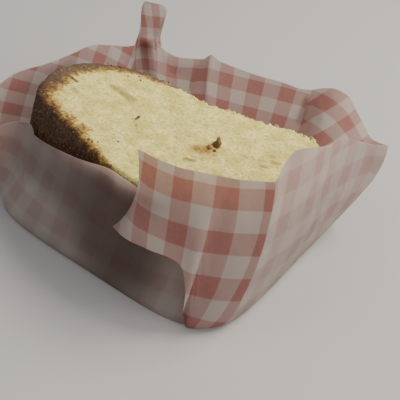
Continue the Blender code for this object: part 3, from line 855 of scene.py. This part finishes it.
def bakedCrumb():
    made, tree = newMaterial("baked_butter_cake")
    place = addNode(tree, "ShaderNodeTexCoord").outputs["Object"]
    depth, bake, toasted, hollowShade = (
        readAttribute(tree, name) for name in ("crustDepth", "bake", "toasted", "hollowShade"))
    noises = {name: noise(tree, place, bakedCake[name], detail) for name, detail in (
        ("tone", 2.0), ("poreSize", 3.0), ("finePoreSize", 2.0), ("patchSize", 4.0),
        ("grainSize", 3.0), ("speckleSize", 3.0))}

    tone = remap(tree, noises["tone"], 0.35, 0.65)
    crumb = mixColours(tree, tone, bakedCake["crumbPale"], bakedCake["crumbDeep"])
    for name, share in (("poreSize", 0.66), ("finePoreSize", 0.38)):
        pore = remap(tree, noises[name], 0.5, 0.32, high=share)
        crumb = mixColours(tree, pore, crumb, bakedCake["pore"])
    # Painted shade: the dents and pores are darkened towards olive.
    crumb = mixColours(tree, hollowShade, crumb, bakedCake["hollowShade"])

    # Baking: two patterns move the edge of the crust in and out, and mottle it a little.
    edge = depth
    for name, reach in zip(("patchSize", "grainSize"), bakedCake["unevenEdge"]):
        moved = remap(tree, noises[name], 0.3, 0.7, -reach / 2, reach / 2)
        edge = combine(tree, "ADD", edge, moved)
    inCrust = remap(tree, edge, -1.2, 1.2, kind="SMOOTHSTEP")
    speckle = remap(tree, noises["speckleSize"], 0.36, 0.62, 0.62, 1.06)
    crusted = combine(tree, "MULTIPLY", combine(tree, "MULTIPLY", inCrust, bake), speckle)
    grains = remap(tree, noises["grainSize"], 0.3, 0.7, 0.55, 1.4)
    spots = combine(tree, "MULTIPLY", toasted, grains)
    browned = combine(tree, "MAXIMUM", crusted, spots)
    colours = addNode(tree, "ShaderNodeValToRGB", {"Fac": browned})
    stops = colours.color_ramp.elements
    while len(stops) < len(bakedCake["baking"]):
        stops.new(1.0)
    for stop, (position, colour) in zip(stops, bakedCake["baking"]):
        stop.position = position
        stop.color = linear(colour)
    shown = remap(tree, browned, 0.02, 0.16)
    colour = mixColours(tree, shown, crumb, colours.outputs["Color"])

    # Where it's baked less, the crust is a dull grey-brown.
    dull = combine(tree, "MULTIPLY", remap(tree, bake, 1.0, 0.86, high=0.75), inCrust)
    colour = mixColours(tree, dull, colour, bakedCake["lightlyBaked"])

    # Painted highlights: a few small pale specks on the crust that stand for glints of light.
    cells = addNode(tree, "ShaderNodeTexVoronoi", {"Vector": place}, inputs={
        "Scale": 1 / (bakedCake["paintedGlintSize"] * mm)})
    near = remap(tree, cells.outputs["Distance"], 0.24, 0.12)
    chance = addNode(tree, "ShaderNodeSeparateXYZ", {"Vector": cells.outputs["Color"]})
    few = addNode(tree, "ShaderNodeMath", {0: chance.outputs["X"]}, operation="GREATER_THAN",
                  inputs={1: 0.8})
    paintedGlint = combine(tree, "MULTIPLY", combine(tree, "MULTIPLY", near, few.outputs[0]), shown)
    colour = mixColours(tree, paintedGlint, colour, bakedCake["paintedGlint"])

    pores = bump(tree, noises["poreSize"], 0.35, 0.8)
    fine = bump(tree, noises["finePoreSize"], 0.35, 0.4, under=pores)
    gloss = remap(tree, browned, 0.2, 0.8, 0.95, 0.66)
    shader = addNode(tree, "ShaderNodeBsdfPrincipled", {
        "Base Color": colour, "Roughness": gloss, "Normal": fine}, inputs={
        "Specular IOR Level": 0.25, "Subsurface Weight": 0.08,
        "Subsurface Radius": (1.0, 0.7, 0.35), "Subsurface Scale": mm})
    addNode(tree, "ShaderNodeOutputMaterial", {"Surface": shader.outputs["BSDF"]})
    return made


crumbs = {
    "lumpiness": (1.0, 1.5),  # size and height of the relief on a lump 2 mm across
    "tilt": (0, 0.6),
    "edgeSeed": 5,
    "edgeClumps": 44,
    "edgeSpan": (15, -20, 49),  # beyond, and between from left to right
    "edgeDepth": (0.0, 3.2),
    "edgeDepthPower": 1.2,
    "edgeCounts": (1, 2, 2, 3, 4),
    "edgeSize": (0.3, 1.0),
    "edgeOut": (-1.0, 1.0),
    "edgeSpread": (-1.2, 1.2),
    "edgeStack": 0.6,           # how far down each crumb of a clump is, in its own size
    "edgeFlatness": (0.6, 1.0),
    "flakeSeed": 8,
    "flakes": 34,
    "flakeSpan": (14, -48, 47),
    "flakeIn": (-0.6, 1.4),
    "flakeSize": (0.25, 0.55),
    "flakeRise": (-0.6, 0.2),
    "flakeShape": (1.0, 0.7, 0.6),
    "flakeColours": ("46311f", "8a6a42"),
    # The brown crumb that stands on the slice, and the dark bits by it: place, size, turn.
    "brown": [((22.1, 2.2, 47.3), (1.5, 1.3, 1.2), 20), ((22.4, 2.6, 48.6), (1.2, 1.1, 1.2), 60),
              ((21.9, 3.2, 49.4), (0.8, 0.8, 0.7), 10), ((21.3, -0.6, 46.9), (0.9, 0.7, 0.6), 30),
              ((23.2, -0.4, 46.9), (0.7, 0.6, 0.6), 80), ((22.2, 0.6, 46.9), (0.7, 0.5, 0.4), 45),
              ((-8.3, -5.1, 46.9), (0.8, 0.6, 0.6), 100), ((-8.0, -4.6, 47.6), (0.6, 0.55, 0.5), 0),
              ((-5.7, -8.7, 46.7), (0.35, 0.3, 0.3), 0)],
    # Dark dots in the pale bay of the near crust and along the far edge.
    "dotSize": (0.5, 0.42, 0.3),
    "dotRise": 0.05,
    "dots": [(-9.2, -27.8), (-7.8, -26.3), (-3.3, -21.2), (-11.2, -27.2), (-28.5, 20.6),
             (-26.0, 18.4), (-31.5, 17.2), (-16.7, -23.3)],
}


def makeLump(name):
    clearSelection()
    bpy.ops.mesh.primitive_ico_sphere_add(subdivisions=2, radius=mm)
    obj = bpy.context.object
    obj.name = name
    addRelief(obj, name, *crumbs["lumpiness"])
    applyAll(obj)
    return obj


# Copies of one lump, each with its own mesh, turned and sized, then joined as one piece.
def scatterLumps(name, spots, seed):
    draw = random.Random(seed)
    lump = makeLump(name)
    copies = []
    for place, size, turn in spots:
        copy = lump.copy()
        copy.data = lump.data.copy()
        bpy.context.scene.collection.objects.link(copy)
        copy.location = toScene(place)
        copy.scale = size
        copy.rotation_euler = (draw.uniform(*crumbs["tilt"]), draw.uniform(*crumbs["tilt"]),
                               math.radians(turn))
        copies.append(copy)
    bpy.data.objects.remove(lump)
    clearSelection()
    for copy in copies:
        copy.select_set(True)
    bpy.context.view_layer.objects.active = copies[0]
    bpy.ops.object.join()
    bpy.ops.object.transform_apply(location=True, rotation=True, scale=True)
    joined = bpy.context.object
    joined.name = name
    bpy.ops.object.shade_smooth()
    return joined


# Places on the outline, beyond one line and between two others: one drawn in each of so many
# equal stretches.
def drawPlaces(draw, span, count):
    beyond, left, right = span
    far = [k for k in range(len(ring)) if ring[k, 1] > beyond and left < ring[k, 0] < right]
    for n in range(count):
        yield far[int((n + draw.random()) / count * len(far))]


# Clumps of a few crumbs, uneven in size and spacing, torn up along the far edge.
def edgeCrumbSpots():
    draw = random.Random(crumbs["edgeSeed"])
    flatness = crumbs["edgeFlatness"]
    spots = []
    for k in drawPlaces(draw, crumbs["edgeSpan"], crumbs["edgeClumps"]):
        below = draw.uniform(*crumbs["edgeDepth"]) ** crumbs["edgeDepthPower"]
        for part in range(draw.choice(crumbs["edgeCounts"])):
            size = draw.uniform(*crumbs["edgeSize"])
            x, y = ring[k] + ringOut[k] * draw.uniform(*crumbs["edgeOut"])
            spots.append(((x + draw.uniform(*crumbs["edgeSpread"]), y,
                           loaf["top"] - below - part * size * crumbs["edgeStack"]),
                          (size, size * draw.uniform(*flatness), size * draw.uniform(*flatness)),
                          draw.uniform(0, 360)))
    return spots


def flakeSpots():
    draw = random.Random(crumbs["flakeSeed"])
    spots = []
    for k in drawPlaces(draw, crumbs["flakeSpan"], crumbs["flakes"]):
        x, y = ring[k] - ringOut[k] * draw.uniform(*crumbs["flakeIn"])
        size = draw.uniform(*crumbs["flakeSize"])
        spots.append(((x, y, loaf["top"] + draw.uniform(*crumbs["flakeRise"])),
                      [size * share for share in crumbs["flakeShape"]], draw.uniform(0, 360)))
    for x, y in crumbs["dots"]:
        spots.append(((x, y, loaf["top"] + crumbs["dotRise"]), crumbs["dotSize"],
                      draw.uniform(0, 360)))
    return spots


# Flakes of browned crust: dark, rough and dry.
def brownedFlake():
    made, tree = newMaterial("browned_crust_flake")
    place = addNode(tree, "ShaderNodeTexCoord").outputs["Object"]
    grain = noise(tree, place, bakedCake["finePoreSize"], 3.0)
    colour = mixColours(tree, remap(tree, grain, 0.35, 0.7), *crumbs["flakeColours"])
    relief = bump(tree, grain, 0.6, 0.4)
    shader = addNode(tree, "ShaderNodeBsdfPrincipled", {"Base Color": colour, "Normal": relief},
                     inputs={"Roughness": 0.7})
    addNode(tree, "ShaderNodeOutputMaterial", {"Surface": shader.outputs["BSDF"]})
    return made


makeCamera()
makeStudio()
print("camera, floor and lamps made")

paper = makeSheet()
paper.data.materials.clear()
paper.data.materials.append(greaseproofPaper())
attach(paper, "root")
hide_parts("paper_wrap")
print("sheet made:", len(paper.data.polygons), "faces")

crumb = makeCake()
crumbFinish = bakedCrumb()
crumb.data.materials.append(crumbFinish)
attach(crumb, "root")
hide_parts("cake_slice")
print("cake made:", len(crumb.data.polygons), "faces")

flakeFinish = brownedFlake()
loose = [("edge_crumbs", edgeCrumbSpots(), crumbFinish),
         ("crust_flakes", flakeSpots(), flakeFinish),
         ("brown_crumb", crumbs["brown"], flakeFinish)]
for seed, (name, spots, finish) in enumerate(loose):
    piece = scatterLumps(name, spots, seed)
    piece.data.materials.append(finish)
    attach(piece, "root")
    print(name, "made:", len(spots), "lumps")
